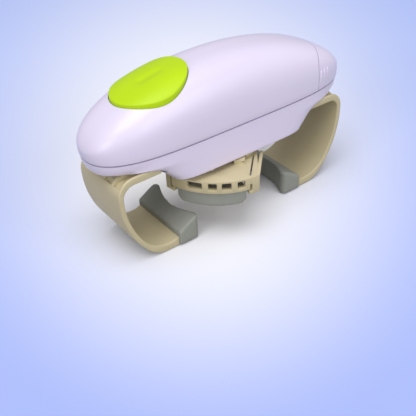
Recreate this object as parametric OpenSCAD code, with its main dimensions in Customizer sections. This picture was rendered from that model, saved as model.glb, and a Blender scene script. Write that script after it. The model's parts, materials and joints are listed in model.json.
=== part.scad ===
// Electric jar opener: an oval housing with a push button stands on two C-shaped arms. The arms
// close on the jar, and two jaws on a turntable under the housing close on the lid and turn it.
// X runs along the housing towards the battery end, Z is up, and the origin lies on the lid's
// axis at the level of the arms' feet.

/* [Housing] */
// Length of the housing from end to end
housing_l = 173; // [168:1:190]
// Width of the housing at its widest
housing_w = 49; // [48.5:0.5:52]
// Height of the parting line between the two shells above the feet
parting_z = 64; // [61:0.5:69]
// Height of the dome above the parting line
dome_h = 35.4; // [35:0.2:42]
// Thickness of the shells
wall = 2.2; // [1.6:0.1:2.6]
// Depth of the lower shell's ends below the parting line
tray_d = 7.4; // [7:0.1:8]
// Depth of the plinth below the parting line
plinth_d = 21; // [20.6:0.1:22]
// Length of the plinth at its foot
plinth_l = 92; // [90:1:96]
// Width of the plinth at its foot
plinth_w = 49; // [48.4:0.2:50]

/* [Button] */
// Distance of the button's centre from the lid's axis
button_x = 44; // [42:0.5:46]
// Length of the button
button_l = 43.6; // [38:0.2:46]
// Width of the button
button_w = 38.4; // [34:0.2:42]
// Height of the button above the dome
button_proud = 1.7; // [1:0.1:2.5]
// Travel of the button
button_travel = 2; // [1:0.1:2.2]

/* [Arms] */
// Width of each arm across the housing
arm_w = 41; // [38:0.5:42]
// Greatest distance of an arm's outer face from the lid's axis
arm_reach = 80; // [78:0.5:84]
// Thickness of the arm's plate
arm_plate_t = 4.4; // [3.6:0.1:4.6]
// Thickness of the arm's band
arm_band_t = 3; // [2.4:0.1:4]
// Thickness of the arm's foot
arm_foot_t = 5; // [4:0.2:6]
// Radius of the jar between the arm pads
jar_r = 37; // [35:0.5:39]
// Height of the arm pads
pad_h = 16; // [14:0.2:17]
// Length of an arm pad along the housing
pad_l = 19; // [17:0.2:20]

/* [Jaws] */
// Radius of the lid between the jaw pads
lid_r = 33.1; // [31:0.1:34]
// Radius of the jaws' outer wall
jaw_r = 40.5; // [39.5:0.1:42]
// Half of the angle that each jaw spans
jaw_half_a = 40.5; // [36:0.5:42]
// Direction of the front jaw's slide, counted from the battery end
jaw_dir = 225; // [180:5:270]
// Thickness of the jaw's wall
jaw_wall_t = 2.6; // [2:0.1:3.2]
// Height of the jaw's wall
jaw_wall_h = 7.5; // [6.5:0.1:8.5]
// Thickness of the jaw's top plate
jaw_plate_t = 2.2; // [1.8:0.1:2.6]
// Height of the jaw pad below the jaw's wall
jaw_pad_drop = 9.5; // [7:0.5:10]

/* [Gears] */
// Module of the gear teeth
gear_m = 1; // [1:0.01:1.02]
// Teeth of the jaw pinion
jaw_teeth = 20; // [20:2:20]
// Teeth of the arm pinion
arm_teeth = 16; // [16:2:16]
// Teeth of the ring gear
ring_teeth = 34; // [34:2:34]
// Teeth of the carriage pinion
feed_teeth = 8; // [8:1:8]
// Teeth of the drive gear
drive_teeth = 16; // [16:2:16]
// Teeth of the reduction gear's pinion
pinion_teeth = 10; // [10:1:10]
// Pitch radius of the worm wheel
worm_wheel_r = 8.8; // [8.6:0.1:9]
// Pitch radius of the worm
worm_r = 3; // [2.8:0.1:3.2]
// Sideways play between two gear teeth
backlash = 0.3; // [0.2:0.05:0.4]

/* [Motor and cells] */
// Diameter of the motor
motor_d = 24; // [20:0.5:24]
// Length of the motor
motor_l = 30.5; // [26:0.5:31]
// Diameter of a cell
cell_d = 14.2; // [13.8:0.1:14.5]
// Length of a cell without its tip
cell_l = 49; // [48:0.5:49.5]

/* [Fits] */
// Radial clearance of a shaft in its bearing
shaft_fit = 0.05; // [0.02:0.01:0.09]
// Gap between pieces that slide or turn past each other
run_gap = 0.35; // [0.3:0.05:0.4]

/* [Hidden] */
$fn = 64;

LILAC = "#D9D2E6";
LIME = "#B9EB0C";
BEIGE = "#BCB498";
RUBBER = "#85878A";
STEEL = "#B8BCC2";
BRASS = "#C8A452";
NYLON = "#EDEBE2";
DARK = "#3A3D42";

// Levels, from the parting line down.
tray_z = parting_z - tray_d;
plinth_z = parting_z - plinth_d;
floor_z = plinth_z + wall;
arm_top = tray_z - 0.6;
arm_under = arm_top - arm_plate_t;
frame_z = arm_top + run_gap;
frame_t = 2;
frame_top = frame_z + frame_t;
// Levels of the turntable and the jaws, from the plinth's foot.
flange_t = 2.9;
flange_top = plinth_z - run_gap;
flange_z = flange_top - flange_t;
jaw_top = flange_z - 0.2;
jaw_under = jaw_top - jaw_plate_t;
jaw_foot = jaw_top - jaw_wall_h;
jaw_pad_z = jaw_foot - jaw_pad_drop;
rack_z = jaw_top + run_gap;
rack_top = flange_top - 0.3;
ring_z = floor_z + run_gap;
ring_base_t = 1.6;
ring_h = 4.8;
// Levels of the gears over the frame.
gear_t = 3;
gear_z = frame_top + 0.6;
clutch_z = gear_z + gear_t + 1.2;
disc_t = 1.6;
washer_t = 0.8;
plate_z = clutch_z + disc_t + washer_t;
spring_z = plate_z + disc_t;
clutch_spring_h = 5;
nut_z = spring_z + clutch_spring_h + 0.3;
nut_t = 2.4;

// Radii and centres of the gear train.
jaw_pinion_r = gear_m * jaw_teeth / 2;
arm_pinion_r = gear_m * arm_teeth / 2;
ring_r = gear_m * ring_teeth / 2;
feed_r = gear_m * feed_teeth / 2;
drive_r = gear_m * drive_teeth / 2;
pinion_r = gear_m * pinion_teeth / 2;
drive_x = -(ring_r - feed_r);
wheel_y = worm_r + worm_wheel_r;
wheel_x = drive_x - sqrt(pow(drive_r + pinion_r, 2) - pow(wheel_y, 2));
tooth_out = 0.8 * gear_m;
tooth_in = 1.05 * gear_m;
ring_out = ring_r + tooth_in + 2.7;

jaw_shaft_r = 2;
drive_shaft_r = 1.5;
pin_r = 1;
sleeve_r = 3.6;
clutch_r = 8.4;
hub_r = 17.6;
flange_r = 22;
screw_r = 1.1;
screw_head_r = 2;

// The motor lies under the button, with its worm beside the worm wheel.
motor_z = frame_top + 2.6 + motor_d / 2;
worm_l = 11;
motor_front = wheel_x - worm_wheel_r - 2.2;
motor_back = motor_front - motor_l;
motor_shaft_r = 1;
bracket_l = 16;
bracket_x = motor_back + 7;
bracket_w = motor_d + 4.6;
bracket_top = motor_z + motor_d / 2 + 1.8;
board_t = 1.2;
board_top = bracket_top + board_t;
board_w = 22;
switch_h = 3.2;
switch_w = 6.4;
plunger_r = 1.5;
plunger_up = button_travel + 0.1;
plunger_in = 0.8;
spring_h = 4.25;

// The cells lie side by side behind the turntable's shaft.
cell_x = 15.2;
cell_tip = 1.2;
cell_z = frame_top + 4.4 + cell_d / 2;
cell_gap = 1;
cell_y = (cell_d + cell_gap) / 2;
tray_wall = 1.4;
cover_x = 57;
cover_bow = 7.5;

// Shape of the dome and of the outlines.
tuck_h = 4;
tuck_r = 24;
end_power = 4.3;
side_power = 2.45;
crown_power = 2.25;
battery_power = 1.88;
crown_side = 1.68;
section_power = 2.9;
ring_points = 56;
step_in = 0.3;

function clamp01(v) = min(max(v, 0), 1);
function sgn(v) = v < 0 ? -1 : 1;
function arc(cx, cz, r, a0, a1, n) =
    [for (i = [0:n]) [cx + r * cos(a0 + (a1 - a0) * i / n), cz + r * sin(a0 + (a1 - a0) * i / n)]];

// Half width of the housing's outline at the share u of its half length.
function outline_y(u, w) = w * pow(clamp01(1 - pow(abs(u), end_power)), 1 / side_power);

// The dome runs out more pointed at the battery end, at plus X.
function end_crown(u) = u > 0 ? battery_power : crown_power;
function crown(u) = pow(clamp01(1 - pow(abs(u), end_crown(u))), 1 / crown_side);

// Height of the dome's surface over the point x, y. grow moves the surface as in dome_ring.
function dome_z(x, y, grow) =
    let (u = x / (housing_l / 2 + grow), side = outline_y(u, housing_w / 2 + grow))
    parting_z + tuck_h + (dome_h - tuck_h + grow) * crown(u)
        * pow(clamp01(1 - pow(abs(y) / max(side, 0.01), section_power)), 1 / section_power);

// How far the outline has drawn in at a depth below its widest level.
function tuck_in(depth) = housing_w / 2 * (1 - sqrt(1 - pow(max(depth, 0) / tuck_r, 2)));

// One level ring of the dome. grow moves the surface outwards, or inwards below zero.
function dome_ring(z, grow) =
    let (a = housing_l / 2 + grow,
         b = housing_w / 2 + grow,
         equator = parting_z + tuck_h,
         rise = clamp01((z - equator) / (dome_h - tuck_h + grow)),
         tuck = tuck_in(equator - z))
    [for (i = [0:ring_points - 1])
        let (t = 360 * i / ring_points,
             u = cos(t) * pow(1 - pow(rise, crown_side), 1 / end_crown(cos(t))),
             x = (a - tuck) * u,
             share = rise / max(crown(u), 0.0001),
             y = outline_y(u, b - tuck) * pow(clamp01(1 - pow(share, section_power)), 1 / section_power))
        [x, y * sgn(sin(t)), z]];

function dome_levels(grow, from) =
    let (equator = parting_z + tuck_h, h = dome_h - tuck_h + grow, steps = 13)
    concat([from, (from + equator) / 2], [for (i = [0:steps]) equator + h * sin(87 * i / steps)]);

// One level ring of the shallow lower shell, which rounds in towards its underside.
tray_round = 3;
function tray_ring(z, inset) =
    let (drop = clamp01((parting_z - z) / tray_d),
         curl = tray_round * (1 - sqrt(1 - pow(0.96 * drop, 2))),
         a = housing_l / 2 - tuck_in(tuck_h) - step_in - inset - curl,
         b = housing_w / 2 - tuck_in(tuck_h) - step_in - inset - curl)
    [for (i = [0:ring_points - 1])
        let (t = 360 * i / ring_points, x = a * cos(t))
        [x, outline_y(x / a, b) * sgn(sin(t)), z]];

// One level ring of the plinth, whose ends sweep out into the shallow shell.
plinth_power = 8;
plinth_x = 1.5;
sweep_start = 1;
sweep_in = 14;
sweep_out = 16;
sweep_power = 7;
plinth_edge = 1;
skirt_slope = 0.8;
function plinth_ring(z, inset) =
    let (level = z - inset,
         rise = clamp01((level - plinth_z - sweep_start) / (tray_z - plinth_z - sweep_start)),
         edge = plinth_edge - sqrt(pow(plinth_edge, 2) - pow(max(plinth_edge - level + plinth_z, 0), 2)),
         over = max(level - tray_z, 0),
         a = plinth_l / 2 + sweep_in * rise + sweep_out * pow(rise, sweep_power) + skirt_slope *
             over - edge,
         foot_b = plinth_w / 2,
         top_b = housing_w / 2 - tuck_in(tuck_h) - step_in,
         b = foot_b + (top_b - foot_b) * (z - plinth_z) / plinth_d - inset - edge,
         end = housing_l / 2 - tuck_in(tuck_h) - step_in)
    [for (i = [0:ring_points - 1])
        let (t = 360 * i / ring_points,
             x = plinth_x + a * sgn(cos(t)) * pow(abs(cos(t)), 2 / plinth_power))
        [x, outline_y(x / end, b) * sgn(sin(t)) * pow(abs(sin(t)), 2 / plinth_power), z]];

// A closed solid through a stack of level rings with the same number of points.
module loft(rings) {
    n = len(rings[0]);
    last = len(rings) - 1;
    points = [for (ring = rings) each ring];
    sides = [for (k = [0:last - 1]) for (i = [0:n - 1])
        let (a = k * n + i, b = k * n + (i + 1) % n)
        each [[a, b + n, b], [a, a + n, b + n]]];
    polyhedron(points, concat([[for (i = [0:n - 1]) i]], sides, [[for (i = [n - 1:-1:0]) last * n + i]]));
}

// Height just under the top shell on its middle line.
function catch_top(x) = parting_z + tuck_h + (dome_h - tuck_h - wall) *
    crown(x / (housing_l / 2 - wall)) - 0.5;

module dome(grow, from) {
    loft([for (z = dome_levels(grow, from)) dome_ring(z, grow)]);
}

module oval(grow) {
    polygon([for (i = [0:47])
        [(button_l / 2 + grow) * cos(i * 7.5), (button_w / 2 + grow) * sin(i * 7.5)]]);
}

// Straight-flanked gear teeth, as a closed outline round the pitch radius.
module gear_outline(teeth, m, play, out, in) {
    r = m * teeth / 2;
    half = 3.1416 * m / 4 - play / 2;
    tip = (half - out * tan(20)) / (r + out) * 57.3;
    root = (half + in * tan(20)) / (r - in) * 57.3;
    polygon([for (i = [0:teeth - 1])
        for (q = [[r - in, -root], [r + out, -tip], [r + out, tip], [r - in, root]])
        [q[0] * cos(i * 360 / teeth + q[1]), q[0] * sin(i * 360 / teeth + q[1])]]);
}

module gear(teeth, m, h, bore) {
    difference() {
        linear_extrude(h)
            gear_outline(teeth, m, backlash, tooth_out * m / gear_m, tooth_in * m / gear_m);
        translate([0, 0, -1]) cylinder(r = bore, h = h + 2);
    }
}

// Rack teeth that point to -Y from the pitch line y = 0, with a tooth gap's centre at x = 0.
module rack_teeth(from, to, h) {
    pitch = 3.1416 * gear_m;
    half = pitch / 4 - backlash / 2;
    tip = half - tooth_out * tan(20);
    root = half + tooth_in * tan(20);
    first = ceil((from + root) / pitch - 0.5);
    last = floor((to - root) / pitch - 0.5);
    linear_extrude(h)
        for (i = [first:last])
            translate([(i + 0.5) * pitch, 0])
                polygon([[-root, tooth_in + 0.2], [-root, tooth_in], [-tip, -tooth_out],
                    [tip, -tooth_out], [root, tooth_in], [root, tooth_in + 0.2]]);
}

// A round wire coil, standing on z = 0.
module coil(r, wire_r, h, turns) {
    steps = 16;
    sides = 6;
    n = turns * steps;
    points = [for (k = [0:n]) for (j = [0:sides - 1])
        let (a = k * 360 / steps,
             q = r + wire_r * cos(j * 360 / sides),
             z = wire_r + (h - 2 * wire_r) * k / n + wire_r * sin(j * 360 / sides))
        [q * cos(a), q * sin(a), z]];
    skin = [for (k = [0:n - 1]) for (j = [0:sides - 1])
        let (a = k * sides + j, b = k * sides + (j + 1) % sides)
        each [[a, b, b + sides], [a, b + sides, a + sides]]];
    polyhedron(points, concat([[for (j = [sides - 1:-1:0]) j]], skin,
        [[for (j = [0:sides - 1]) n * sides + j]]));
}

// A screw that hangs from its head's top at z = 0.
module screw(r, head_r, head_h, l) {
    slot_w = 0.6;
    difference() {
        union() {
            translate([0, 0, -head_h]) cylinder(r = head_r, h = head_h);
            translate([0, 0, -l]) cylinder(r = r, h = l - head_h + 0.1);
        }
        translate([-slot_w / 2, -head_r, -head_h / 2]) cube([slot_w, 2 * head_r, head_h]);
        translate([-head_r, -slot_w / 2, -head_h / 2]) cube([2 * head_r, slot_w, head_h]);
    }
}

// Places of the screws and of the frame's posts.
post_x = 17.5;
post_y = housing_w / 2 - 6.9;
post_r = 3.2;
boss_r = 2.5;
boss_left = [-72, 9];
shell_screw_r = 1.4;
shell_head_r = 2.2;
shell_head_h = 1.6;
head_in = 0.4;
carriage_screw_at = 13.2;

// ---- Housing ----

module lower_shell() {
    slot_w = arm_w + 2 * run_gap;
    slot_x = [30, plinth_x + plinth_l / 2 + sweep_in + sweep_out + wall];
    sweep_steps = [0, 0.25, 0.5, 0.7, 0.85, 0.94, 1];
    sweep_h = tray_z - plinth_z - sweep_start;
    ledge = [12, 5.6];
    ledge_at = [24, 15];
    color(LILAC) difference() {
        union() {
            difference() {
                union() {
                    loft([for (i = [6:-1:0]) let (z = parting_z - tray_d * sin(15 * i)) tray_ring(z, 0)]);
                    loft([for (z = [plinth_z, plinth_z + plinth_edge / 2,
                        for (k = sweep_steps) plinth_z + sweep_start + sweep_h * k, tray_z +
                            tray_d / 2, parting_z])
                        plinth_ring(z, 0)]);
                }
                loft([for (i = [4:-1:0]) let (z = parting_z + 1 - (tray_d - wall + 1) * sin(22.5 * i))
                    tray_ring(z, wall)]);
                loft([for (z = [floor_z, for (k = sweep_steps) floor_z + sweep_start + sweep_h * k,
                    tray_z + wall + 1])
                    plinth_ring(z, wall)]);
            }
            for (x = [-1, 1]) for (y = [-1, 1]) {
                translate([x * post_x, y * post_y, plinth_z + wall / 2])
                    cylinder(r = post_r, h = frame_z - plinth_z - wall / 2);
                translate([x * (ledge_at[0] + ledge[0] / 2), y * (ledge_at[1] + ledge[1] / 2),
                    plinth_z + wall / 2])
                    linear_extrude(arm_under - run_gap - plinth_z - wall / 2)
                        square(ledge, center = true);
            }
            for (y = [-1, 1])
                translate([boss_left[0], y * boss_left[1], tray_z + wall / 2])
                    cylinder(r = post_r, h = tray_d - wall / 2);
        }
        for (x = [-1, 1])
            translate([x * (slot_x[0] + slot_x[1]) / 2, 0, arm_under - run_gap])
                linear_extrude(arm_plate_t + 2 * run_gap)
                    square([slot_x[1] - slot_x[0], slot_w], center = true);
        translate([0, 0, plinth_z - 1]) cylinder(r = hub_r + shaft_fit, h = wall + 2);
        for (y = [-1, 1]) {
            translate([-post_x, y * post_y, plinth_z + wall])
                cylinder(r = screw_r + shaft_fit, h = plinth_d);
            translate([post_x, y * post_y, plinth_z - 1])
                cylinder(r = shell_screw_r + run_gap, h = plinth_d);
            translate([post_x, y * post_y, plinth_z - 1])
                cylinder(r = shell_head_r + run_gap, h = 1 + head_in + shell_head_h);
            translate([boss_left[0], y * boss_left[1], tray_z - 1]) {
                cylinder(r = shell_screw_r + run_gap, h = tray_d + 2);
                cylinder(r = shell_head_r + run_gap, h = 1 + head_in + shell_head_h);
            }
            translate([bracket_x + bracket_ear_x, y * bracket_ear_y, tray_z - 1])
                cylinder(r = screw_r + shaft_fit, h = tray_d);
        }
    }
}

// Where the battery cover meets the top shell, and everything beyond it.
function seam_x(y) = cover_x + cover_bow * max(1 - pow(y / 22, 2), 0);
module beyond_seam(gap) {
    translate([0, 0, parting_z - plinth_d])
        linear_extrude(plinth_d + 2 * dome_h)
            polygon(concat([for (y = [-22:4:22]) [seam_x(y) + gap, y]],
                [[cover_x + gap, housing_w], [housing_l, housing_w], [housing_l, -housing_w],
                    [cover_x + gap, -housing_w]]));
}

module top_shell() {
    boss_h = dome_z(boss_left[0] - boss_r, boss_left[1] + boss_r, -wall / 2) - parting_z;
    sleeve_h = dome_z(post_x + boss_r, post_y + boss_r, -wall / 2) - frame_top;
    color(LILAC) difference() {
        union() {
            difference() {
                dome(0, parting_z);
                dome(-wall, parting_z - 1);
            }
            for (y = [-1, 1]) {
                translate([boss_left[0], y * boss_left[1], parting_z]) cylinder(r = boss_r, h = boss_h);
                translate([post_x, y * post_y, frame_top]) cylinder(r = boss_r, h = sleeve_h);
            }
        }
        translate([-button_x, 0, parting_z + dome_h / 3]) linear_extrude(dome_h) oval(0);
        beyond_seam(0);
        for (y = [-1, 1]) {
            translate([post_x, y * post_y, frame_top - 1])
                cylinder(r = shell_screw_r + shaft_fit, h = 12);
            translate([boss_left[0], y * boss_left[1], parting_z - 1])
                cylinder(r = shell_screw_r + shaft_fit, h = 12);
        }
    }
}

module battery_cover() {
    rib_r = 0.8;
    tongue_w = 18;
    tongue_l = 5.4;
    tongue_t = 1.3;
    tongue_a = 25;
    tongue_foot = 3;
    tongue_z = dome_z(cover_x + cover_bow + tongue_foot, tongue_w / 2, -wall / 2) - 0.6;
    color(LILAC) {
        intersection() {
            union() {
                difference() {
                    dome(0, parting_z);
                    dome(-wall, parting_z - 1);
                }
                for (i = [0:2]) for (y = [-1, 1])
                    let (x = cover_x + 2.2 + 3 * i)
                    translate([x, y * (outline_y(2 * x / housing_l, housing_w / 2) - 0.6), parting_z +
                        tuck_h - 1])
                        cylinder(r = rib_r, h = 9, $fn = 24);
            }
            beyond_seam(0.15);
        }
        translate([cover_x + cover_bow + 0.5, -tongue_w / 2, tongue_z - 4])
            cube([tongue_foot, tongue_w, 4]);
        translate([cover_x + cover_bow + 1, -tongue_w / 2, tongue_z]) rotate([0, tongue_a - 180, 0])
            cube([tongue_l, tongue_w, tongue_t]);
    }
}

// ---- Button and switch ----

module button() {
    skirt_t = 1.2;
    skirt_z = board_top - 5;
    cap_t = 2.4;
    cup_r = [4.8, 7.4];
    stem_r = 2;
    catch_l = 2.4;
    catch_w = 8;
    catch_h = 2;
    color(LIME) translate([-button_x, 0, 0]) {
        difference() {
            intersection() {
                translate([button_x, 0, 0]) dome(button_proud, parting_z);
                translate([0, 0, skirt_z]) linear_extrude(dome_h) oval(-run_gap);
            }
            difference() {
                intersection() {
                    translate([button_x, 0, 0]) dome(button_proud - cap_t, parting_z);
                    translate([0, 0, skirt_z - 1]) linear_extrude(dome_h) oval(-run_gap - skirt_t);
                }
                translate([0, 0, board_top + spring_h]) difference() {
                    cylinder(r = cup_r[1], h = dome_h);
                    translate([0, 0, -1]) cylinder(r = cup_r[0], h = dome_h);
                }
                translate([0, 0, board_top + switch_h + plunger_up]) cylinder(r = stem_r, h = dome_h);
            }
        }
        for (side = [-1, 1])
            translate([side * button_l / 2, 0,
                catch_top(-button_x + side * button_l / 2 - catch_l / 2) - catch_h])
                linear_extrude(catch_h) square([catch_l, catch_w], center = true);
    }
}

module button_spring() {
    color(STEEL) translate([-button_x, 0, board_top]) coil(6, 0.4, spring_h, 3);
}

module push_switch() {
    color(DARK) translate([-button_x, 0, board_top]) difference() {
        translate([-switch_w / 2, -switch_w / 2, 0]) cube([switch_w, switch_w, switch_h]);
        translate([0, 0, 0.3]) cylinder(r = plunger_r + shaft_fit, h = switch_h);
    }
}

module switch_plunger() {
    color(NYLON) translate([-button_x, 0, board_top + switch_h - plunger_in])
        cylinder(r = plunger_r, h = plunger_in + plunger_up);
}

module circuit_board() {
    chip = 5;
    color("#2E6B3E") translate([bracket_x - 2, -board_w / 2, bracket_top])
        cube([bracket_l + 7, board_w, board_t]);
    color(DARK) translate([bracket_x + 15.2, board_w / 2 - chip - 1.5, board_top])
        cube([chip, chip, 0.8]);
}

// ---- Motor and reduction ----

module along_x(x, z) {
    translate([x, 0, z]) rotate([0, 90, 0]) children();
}

module motor() {
    collar_r = 3;
    collar_h = 1.5;
    color(STEEL) difference() {
        union() {
            along_x(motor_back, motor_z) cylinder(r = motor_d / 2, h = motor_l - collar_h);
            along_x(motor_front - collar_h - 0.1, motor_z) cylinder(r = collar_r, h = collar_h + 0.1);
            for (y = [-1, 1]) translate([motor_back - 2, y * 6 - 0.6, motor_z - 1.5]) cube([2.5, 1.2, 3]);
        }
        along_x(motor_front - 6, motor_z) cylinder(r = motor_shaft_r + shaft_fit, h = 7);
    }
}

module motor_shaft() {
    color(STEEL) along_x(motor_front - 5, motor_z)
        cylinder(r = motor_shaft_r, h = wheel_x + worm_l / 2 + 6 - motor_front);
}

module worm() {
    crest = wheel_y - worm_wheel_r - 0.8;
    ridges = 6;
    pitch = worm_l / ridges;
    color(BRASS) along_x(wheel_x - worm_l / 2, motor_z) rotate_extrude()
        polygon(concat([[motor_shaft_r + 0.02, 0]],
            [for (i = [0:ridges - 1])
                each [[crest - 0.5, i * pitch], [crest, (i + 0.3) * pitch],
                    [crest, (i + 0.6) * pitch], [crest - 0.5, (i + 0.9) * pitch]]],
            [[crest - 0.5, worm_l], [motor_shaft_r + 0.02, worm_l]]));
}

bracket_ear_x = 3;
bracket_ear_y = bracket_w / 2 + 1.8;
module motor_bracket() {
    ear_t = 2;
    color(NYLON) difference() {
        union() {
            translate([bracket_x, -bracket_w / 2, tray_z + wall])
                cube([bracket_l, bracket_w, bracket_top - tray_z - wall]);
            translate([bracket_x, -bracket_ear_y - 1.8, tray_z + wall])
                cube([2 * bracket_ear_x, 2 * bracket_ear_y + 3.6, ear_t]);
        }
        along_x(bracket_x - 1, motor_z) cylinder(r = motor_d / 2 + shaft_fit, h = bracket_l + 2);
        for (y = [-1, 1])
            translate([bracket_x + bracket_ear_x, y * bracket_ear_y, tray_z])
                cylinder(r = screw_r + shaft_fit, h = 10);
    }
}

module bracket_screws() {
    ear_t = 2;
    color(STEEL) for (y = [-1, 1])
        translate([bracket_x + bracket_ear_x, y * bracket_ear_y, tray_z + wall + ear_t + 1])
            screw(screw_r, 1.7, 1, 4.6);
}

mesh_a = atan2(wheel_y, wheel_x - drive_x);
module reduction_gear() {
    wheel_m = 0.8;
    wheel_t = 4;
    wheel_teeth = round(2 * worm_wheel_r / wheel_m);
    bore = pin_r + shaft_fit;
    color(NYLON) translate([wheel_x, wheel_y, 0]) {
        translate([0, 0, gear_z]) rotate([0, 0, mesh_a + 180 + 180 / pinion_teeth])
            gear(pinion_teeth, gear_m, gear_t, bore);
        translate([0, 0, gear_z + gear_t - 0.1]) difference() {
            cylinder(r = 3.4, h = motor_z - wheel_t / 2 - gear_z - gear_t + 0.2);
            translate([0, 0, -1]) cylinder(r = bore, h = motor_z);
        }
        translate([0, 0, motor_z - wheel_t / 2])
            gear(wheel_teeth, 2 * worm_wheel_r / wheel_teeth, wheel_t, bore);
    }
}

module gear_pin() {
    color(STEEL) translate([wheel_x, wheel_y, frame_z]) cylinder(r = pin_r, h = motor_z + 3.4 - frame_z);
}

module drive_gear() {
    color(NYLON) translate([drive_x, 0, gear_z]) rotate([0, 0, mesh_a])
        gear(drive_teeth, gear_m, gear_t, drive_shaft_r + 0.02);
}

module drive_shaft() {
    from = ring_z + ring_base_t + 0.4;
    color(STEEL) translate([drive_x, 0, from])
        cylinder(r = drive_shaft_r, h = gear_z + gear_t + 0.5 - from);
}

module carriage_pinion() {
    from = ring_z + ring_base_t + 0.3;
    color(BRASS) translate([drive_x, 0, from])
        gear(feed_teeth, gear_m, ring_h - ring_base_t - 0.5, drive_shaft_r + 0.02);
}

module gear_frame() {
    boss_d = 4.6;
    corner = 3;
    half_x = post_x + post_r;
    frame_side = 2.4;
    half_y = plinth_w / 2 - wall - frame_side;
    color(NYLON) difference() {
        union() {
            translate([-half_x, -half_y, frame_z]) cube([2 * half_x, 2 * half_y, frame_t]);
            translate([drive_x, 0, frame_z - boss_d]) cylinder(r = 3.2, h = boss_d + 0.1);
        }
        translate([0, 0, frame_z - 1]) cylinder(r = sleeve_r + shaft_fit, h = frame_t + 2);
        translate([drive_x, 0, frame_z - boss_d - 1])
            cylinder(r = drive_shaft_r + shaft_fit, h = boss_d + frame_t + 2);
        translate([wheel_x, wheel_y, frame_z - 1]) cylinder(r = pin_r + 0.02, h = frame_t + 2);
        for (y = [-1, 1]) {
            translate([post_x, y * post_y, frame_z - 1])
                cylinder(r = shell_screw_r + run_gap, h = frame_t + 2);
            translate([-post_x, y * post_y, frame_z - 1])
                cylinder(r = screw_r + shaft_fit, h = frame_t + 2);
            translate([-post_x, y * post_y, frame_top - 1]) cylinder(r = screw_head_r + shaft_fit, h = 2);
        }
    }
}

module gear_frame_screws() {
    color(STEEL) for (y = [-1, 1])
        translate([-post_x, y * post_y, frame_top]) screw(screw_r, screw_head_r, 1, 9);
}

// ---- Clutch and shafts on the lid's axis ----

module arm_pinion() {
    tooth_h = arm_plate_t - 0.4;
    color(NYLON) difference() {
        union() {
            translate([0, 0, arm_under + 0.2]) gear(arm_teeth, gear_m, tooth_h, jaw_shaft_r + shaft_fit);
            translate([0, 0, arm_top - 0.4])
                cylinder(r = sleeve_r, h = clutch_z + disc_t - arm_top + 0.4);
        }
        translate([0, 0, arm_under - 1]) cylinder(r = jaw_shaft_r + shaft_fit, h = clutch_z + disc_t);
    }
}

module ring_disc(z, h, bore) {
    translate([0, 0, z]) difference() {
        cylinder(r = clutch_r, h = h);
        translate([0, 0, -1]) cylinder(r = bore, h = h + 2);
    }
}

module arm_clutch_disc() {
    color(STEEL) ring_disc(clutch_z, disc_t, sleeve_r + 0.02);
}

module friction_washer() {
    color(DARK) ring_disc(clutch_z + disc_t, washer_t, jaw_shaft_r + 0.4);
}

module clutch_plate() {
    color(STEEL) ring_disc(plate_z, disc_t, jaw_shaft_r + 0.02);
}

module clutch_spring() {
    color(STEEL) translate([0, 0, spring_z]) coil(3.6, 0.5, clutch_spring_h, 3);
}

module shaft_nut() {
    color(BRASS) translate([0, 0, spring_z + clutch_spring_h]) difference() {
        cylinder(r = 5, h = nut_t + 0.3);
        translate([0, 0, -1]) cylinder(r = jaw_shaft_r + 0.02, h = nut_t + 3);
    }
}

module jaw_shaft() {
    color(STEEL) {
        translate([0, 0, rack_z + 0.1]) rotate([0, 0, jaw_dir])
            gear(jaw_teeth, gear_m, rack_top - rack_z - 0.1, jaw_shaft_r - 0.5);
        translate([0, 0, rack_z + 0.1]) cylinder(r = jaw_shaft_r, h = nut_z + nut_t + 0.6 - rack_z);
    }
}

// ---- Turntable and jaws ----

rack_back = 17;
rib_h = 0.8;
rib_in = 0.8;
rack_mid = (rack_z + rack_top) / 2;

module jaw_carriage() {
    channel = rack_back + 0.25;
    rib_l = 25;
    color(BEIGE) difference() {
        union() {
            difference() {
                translate([0, 0, flange_z]) cylinder(r = flange_r, h = flange_t);
                rotate([0, 0, jaw_dir]) translate([-flange_r, -channel, flange_z - 1])
                    cube([2 * flange_r, 2 * channel, flange_t + 2]);
            }
            translate([0, 0, flange_top - 0.1]) cylinder(r = hub_r, h = ring_z - flange_top + 0.1);
            rotate([0, 0, jaw_dir]) for (p = [-1, 1])
                translate([-rib_l / 2, p > 0 ? rack_back - rib_in : -channel - 0.5, rack_mid - rib_h / 2])
                    cube([rib_l, channel - rack_back + rib_in + 0.5, rib_h]);
            intersection() {
                translate([0, 0, flange_top - 0.2]) cylinder(r = flange_r, h = 0.2);
                rotate([0, 0, jaw_dir]) for (p = [-1, 1])
                    translate([-flange_r, p > 0 ? hub_r / 2 : -flange_r, 0])
                        cube([2 * flange_r, flange_r - hub_r / 2, 2 * flange_z]);
            }
        }
        translate([0, 0, flange_z - 1]) cylinder(r = jaw_shaft_r + shaft_fit, h = plinth_d);
        for (i = [0:2]) rotate([0, 0, 60 + 120 * i])
            translate([carriage_screw_at, 0, flange_z]) cylinder(r = screw_r + shaft_fit, h = plinth_d);
    }
}

module ring_gear() {
    color(NYLON) difference() {
        translate([0, 0, ring_z]) cylinder(r = ring_out, h = ring_h);
        translate([0, 0, ring_z + ring_base_t]) linear_extrude(ring_h)
            gear_outline(ring_teeth, gear_m, -backlash, tooth_in, tooth_out);
        translate([0, 0, ring_z - 1]) cylinder(r = jaw_shaft_r + shaft_fit, h = ring_h);
        for (i = [0:2]) rotate([0, 0, 60 + 120 * i]) translate([carriage_screw_at, 0, 0]) {
            translate([0, 0, ring_z - 1]) cylinder(r = screw_r + shaft_fit, h = ring_h);
            translate([0, 0, ring_z + ring_base_t - 1]) cylinder(r = screw_head_r + shaft_fit, h = 2);
        }
    }
}

module carriage_screws() {
    color(STEEL) for (i = [0:2]) rotate([0, 0, 60 + 120 * i])
        translate([carriage_screw_at, 0, ring_z + ring_base_t])
            screw(screw_r, screw_head_r, 1, ring_base_t + 2.4);
}

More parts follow.
